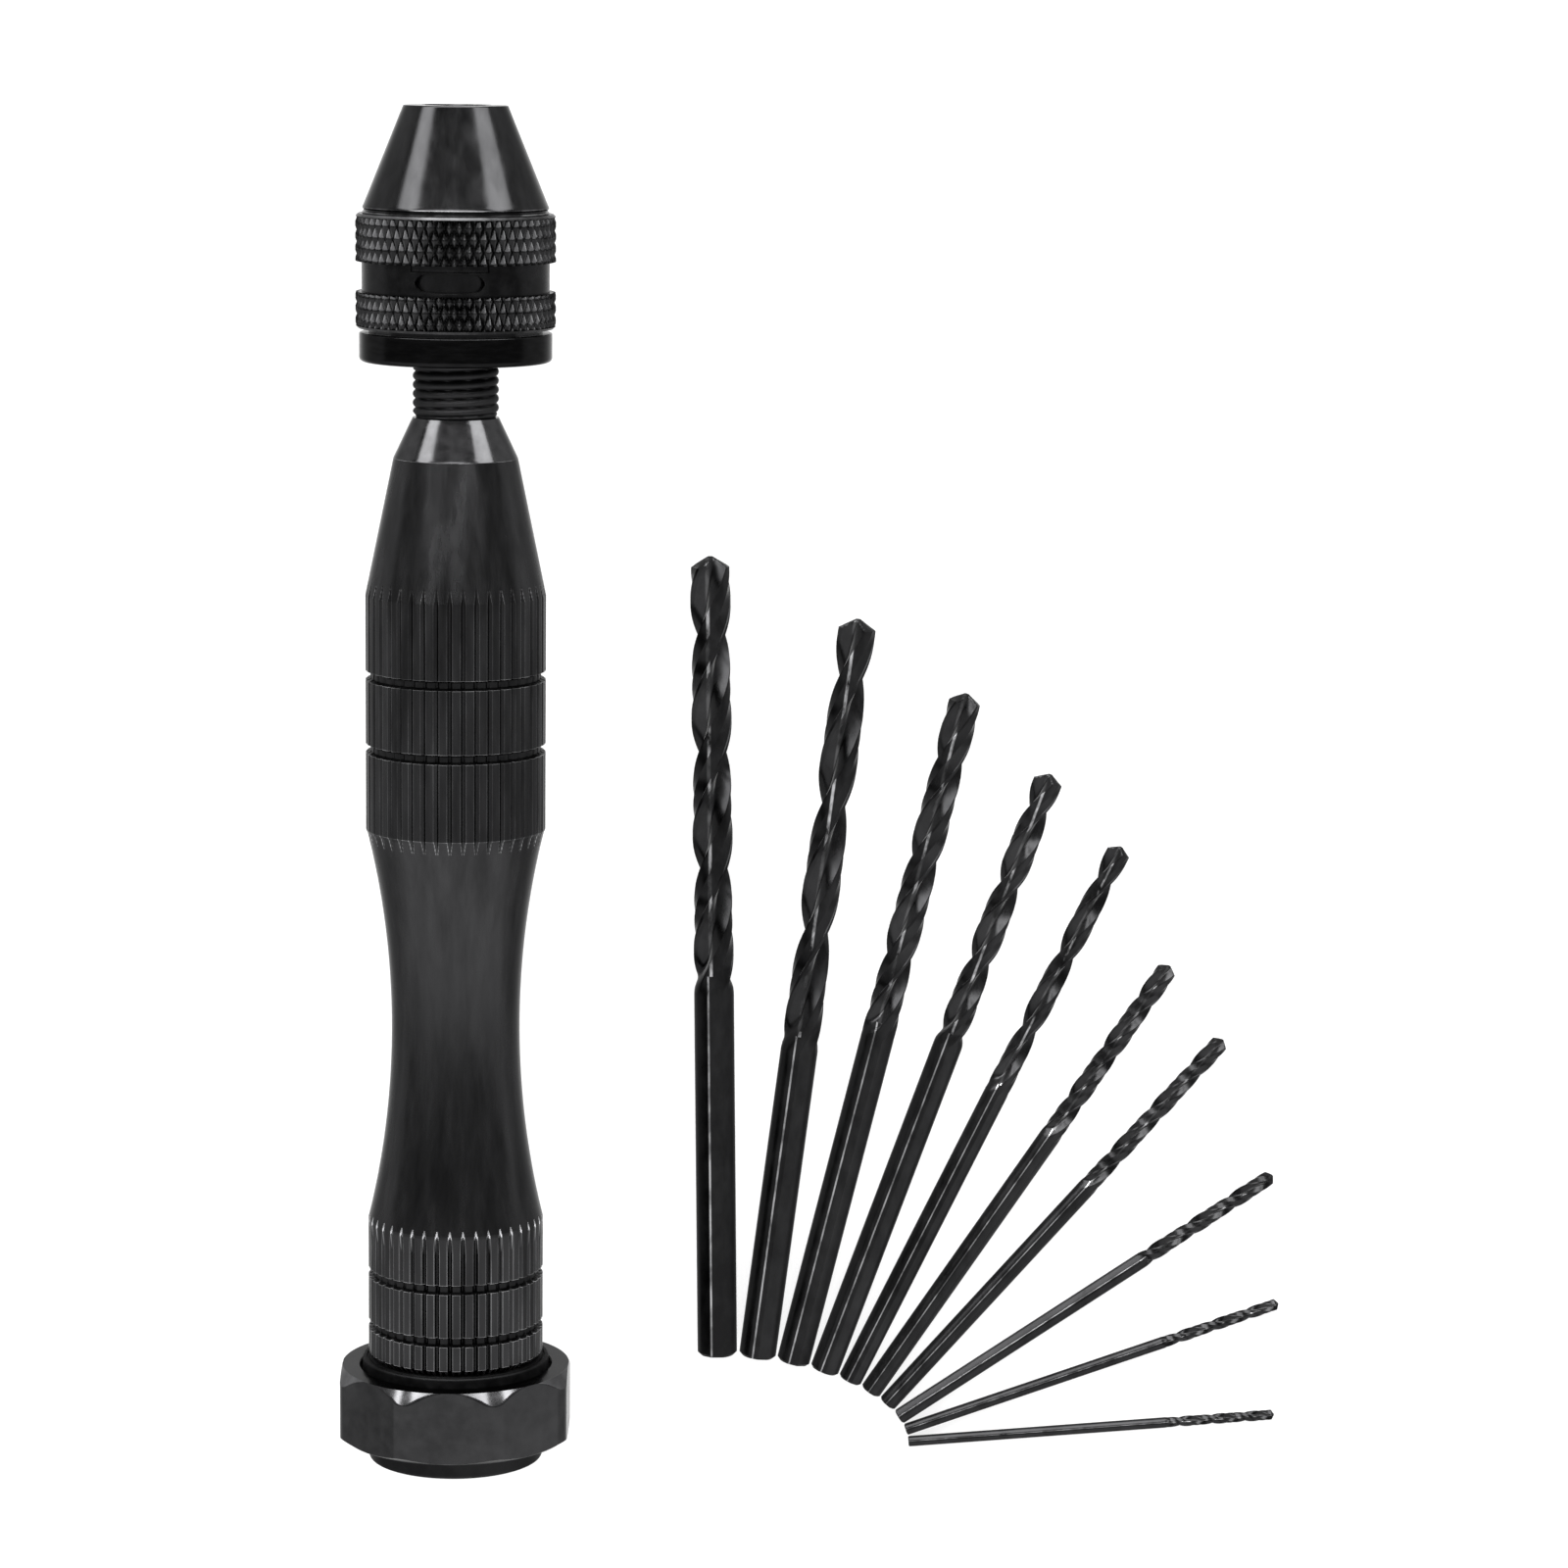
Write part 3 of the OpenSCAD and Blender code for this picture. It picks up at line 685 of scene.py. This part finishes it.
# Rings of points for each turn of the flutes
RINGS_PER_TURN = 48
# Material slots beside the shank's, which is 0
LAND_SLOT, FLUTE_SLOT = 1, 2


def drill_section(part, width):
    """Radius of the two-flute section for a unit radius, at part degrees from a flute's middle."""
    edge = np.where(part < 0, 1.0, HEEL)
    flute = WEB + (edge - WEB) * (np.abs(part) * 2 / width) ** 2.2
    margin = part > 180 - width / 2 - MARGIN_WIDTH
    land = np.where(margin, 1.0, np.minimum(LAND, HEEL + (part - width / 2) * 0.004))
    return np.where(np.abs(part) <= width / 2, flute, land)


def section_angles(width):
    """Degrees from a flute's middle: close in the flute, and at the heel, the land and the margin."""
    flute_end, land_end = width / 2, 180 - width / 2 - MARGIN_WIDTH
    over = [flute_end + 1.5, flute_end + 8, (flute_end + land_end) / 2, land_end, land_end + 1.5,
            land_end + MARGIN_WIDTH / 2]
    return np.concatenate([np.linspace(-flute_end, flute_end, 17), over])


def drill_rings(diameter, length, fluted, lead, first, width):
    """Rings of points along +Z from the end of the shank to the point, in mm."""
    radius, tip = diameter / 2, diameter / 2 / math.tan(POINT_HALF)
    shank = length - fluted
    part = section_angles(width)
    section = np.tile(drill_section(part, width), 2)
    angle = np.radians(np.concatenate([part, part + 180]))
    count = math.ceil((fluted - tip) / lead * RINGS_PER_TURN)
    stations = [0, SHANK_CHAMFER * diameter, 0.5 * shank, shank - 0.1]
    stations += [shank + (fluted - tip) * k / count for k in range(count + 1)]
    stations += [length - tip * share for share in (0.8, 0.6, 0.4, 0.25, 0.12)]
    rings = []
    for station in stations:
        cut_in = min(1.0, max(0.0, station - shank) / diameter)
        cut_in = cut_in * cut_in * (3 - 2 * cut_in)
        reach = radius * (1 - cut_in * (1 - section))
        reach = np.minimum(reach, (length - station) * math.tan(POINT_HALF))
        if station == 0:
            reach = reach - SHANK_CHAMFER * diameter
        turn = angle + TAU * (max(station, shank) - (length - first)) / lead
        rings.append(np.stack([reach * np.cos(turn), reach * np.sin(turn),
                               np.full(angle.shape, station)], axis=-1))
    return np.array(rings)


def drill_place(bit, direction, half):
    """Matrix that lays a drill, drawn up from its shank's end, on the floor in its direction."""
    low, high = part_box("drill_" + bit)
    heading = math.radians(direction)
    foot_x = low.x + half * math.cos(heading) if direction > 0 else high.x - half * math.cos(heading)
    return (Matrix.Translation((foot_x, low.y + half * abs(math.sin(heading)), half))
            @ Matrix.Rotation(-heading, 4, "Z") @ Matrix.Rotation(-math.pi / 2, 4, "X"))


def make_drill(bit, length, fluted, direction, lead, first, width):
    """Twist drill with its shank, lands and flutes finished apart."""
    diameter = float(bit.replace("_", "."))
    half = diameter / 2 * MM
    place = drill_place(bit, direction, half)
    turned_axes, foot = np.array(place.to_3x3()), np.array(place.translation)
    rings = drill_rings(diameter, length, fluted, lead, first, width)
    total, sides = rings.shape[:2]
    faces = ring_faces(total, sides, False)
    faces += [tuple(range(sides)), tuple(range((total - 1) * sides, total * sides))]
    points = rings.reshape(-1, 3) * MM @ turned_axes.T + foot
    drill = new_object("twist_drill_" + bit, points, faces)
    mesh = drill.data
    for material in (None, LAND_STEEL, FLUTE_STEEL):
        mesh.materials.append(material)
    back = place.inverted()
    flutes_start, flute_r = length - fluted + diameter / 2, 0.9 * diameter / 2
    for face in mesh.polygons:
        middle = back @ face.center / MM
        if middle.z > flutes_start:
            in_flute = math.hypot(middle.x, middle.y) < flute_r
            face.material_index = FLUTE_SLOT if in_flute else LAND_SLOT
    # Sideways place of each point, as a share of the radius, which places the painted highlight line
    spots = np.empty(len(mesh.vertices) * 3)
    mesh.vertices.foreach_get("co", spots)
    across = (spots.reshape(-1, 3) - foot) @ turned_axes[:, 0] / half
    mesh.attributes.new("across", "FLOAT", "POINT").data.foreach_set("value", across.astype(np.float32))
    # In the photo the drills aren't mirrored in the handle
    drill.visible_glossy = False
    return drill


# ---------------------------------------------------------------- the pieces in place

install(make_handle(), "handle", "handle", HANDLE_BLACK)
install(make_spindle(), "spindle", "handle", SPINDLE_STEEL)
install(make_washer(), "thrust_washer", "handle", NYLON)
install(make_cap(), "end_cap", "cap", CAP_BLACK)
install(make_disc(), "end_disc", "cap", DISC_BLACK)
install(make_chuck_body(), "chuck_body", "chuck", BLACK_STEEL)
install(make_rear_ring(), "rear_ring", "chuck", RING_STEEL)
install(make_sleeve(), "chuck_sleeve", "sleeve", KNURLED_STEEL)
for bit in BITS:
    install(make_drill(*bit), "drill_" + bit[0], "drill_" + bit[0], SHANK_STEEL)

KEPT = {"bearing_inner_race": BRIGHT_STEEL, "bearing_outer_race": BRIGHT_STEEL,
        "bearing_balls": BRIGHT_STEEL, "axle_screw": BRIGHT_STEEL, "bearing_cage": NYLON,
        "thread_bush": BLACK_STEEL, "jaw_nut_a": BRIGHT_STEEL, "jaw_nut_b": BRIGHT_STEEL,
        "jaw_1": BRIGHT_STEEL, "jaw_2": BRIGHT_STEEL, "jaw_3": BRIGHT_STEEL}
for node, material in KEPT.items():
    for material_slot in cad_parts[node].material_slots:
        material_slot.material = material

# ---------------------------------------------------------------- floor, light and camera


def make_floor():
    """Plain pale floor that renders white."""
    size = 3.0
    points = [(-size, -size, 0), (size, -size, 0), (size, size, 0), (-size, size, 0)]
    floor = new_object("floor", points, [(0, 1, 2, 3)])
    material = bpy.data.materials.new("floor_white")
    material.use_nodes = True
    shader = material.node_tree.nodes["Principled BSDF"]
    shader.inputs["Base Color"].default_value = (0.2, 0.2, 0.2, 1)
    shader.inputs["Roughness"].default_value = 0.9
    shader.inputs["Specular IOR Level"].default_value = 0.0
    shader.inputs["Emission Color"].default_value = (1, 1, 1, 1)
    shader.inputs["Emission Strength"].default_value = 0.8
    floor.data.materials.append(material)


RADIANCE = 14.0


def soft_box(name, place, aim, width, height):
    """A rectangular area light at place that faces aim, all in metres."""
    light = bpy.data.lights.new(name, "AREA")
    light.shape = "RECTANGLE"
    light.size, light.size_y = width, height
    light.energy = RADIANCE * math.pi * width * height
    obj = bpy.data.objects.new(name, light)
    obj.location = place
    obj.rotation_euler = (Vector(aim) - Vector(place)).to_track_quat("-Z", "Y").to_euler()
    obj.visible_camera = False
    bpy.context.scene.collection.objects.link(obj)


def towards(azimuth, elevation):
    """Direction at degrees clockwise from +Y and degrees above the floor."""
    azimuth, elevation = math.radians(azimuth), math.radians(elevation)
    return Vector((math.sin(azimuth) * math.cos(elevation), math.cos(azimuth) * math.cos(elevation),
                   math.sin(elevation)))


def make_lights():
    """Two side panels give the streaks on the cones; a far one and a near one in front of the cap give
    its bright chamfers."""
    chuck = Vector((AXIS_X, NOSE_Y, AXIS_Z))
    away = 0.9
    soft_box("panel_left", chuck + towards(-49, 19.5) * away, chuck, 0.38, 0.35)
    soft_box("panel_right", chuck + towards(48, 17) * away, chuck, 0.41, 0.42)
    height = Vector((0, 0, 0.40))
    soft_box("panel_far", chuck + height + Vector((0, 1.1, 0)), chuck + height, 1.42, 0.8)
    over_cap = chuck + Vector((-0.016, -CAP_FRONT * MM, 0.166))
    soft_box("panel_cap", over_cap + Vector((0, 0.17, 0)), over_cap, 0.328, 0.089)


def make_world():
    """Dim overhead and beyond the nose, brighter behind the cap."""
    world = bpy.data.worlds.new("studio")
    world.use_nodes = True
    tree = world.node_tree
    background = tree.nodes["Background"]
    where = tree.nodes.new("ShaderNodeTexCoord")
    split = tree.nodes.new("ShaderNodeSeparateXYZ")
    tree.links.new(where.outputs["Generated"], split.inputs["Vector"])
    strength = map_range(tree, split.outputs["Y"], (-0.27, -0.15), (2.3, 0.5))
    tree.links.new(strength, background.inputs["Strength"])
    background.inputs["Color"].default_value = (1, 1, 1, 1)
    bpy.context.scene.world = world


def make_camera():
    """A long lens above the drill, placed in mm from the axis and the nose and leaned towards the cap."""
    camera = bpy.data.cameras.new("camera")
    camera.sensor_width = 36
    camera.lens = 111.8
    camera.clip_start, camera.clip_end = 0.01, 10
    obj = bpy.data.objects.new("camera", camera)
    beside, beyond, above, lean, roll = 23.98, 8.60, 351.1, -9.3, 0.631
    obj.location = (AXIS_X + beside * MM, NOSE_Y + beyond * MM, AXIS_Z + above * MM)
    obj.rotation_euler = (Matrix.Rotation(math.radians(lean), 4, "X")
                          @ Matrix.Rotation(math.radians(roll), 4, "Z")).to_euler()
    bpy.context.scene.collection.objects.link(obj)
    bpy.context.scene.camera = obj


make_floor()
make_lights()
make_world()
make_camera()
bpy.context.scene.view_settings.view_transform = "Standard"
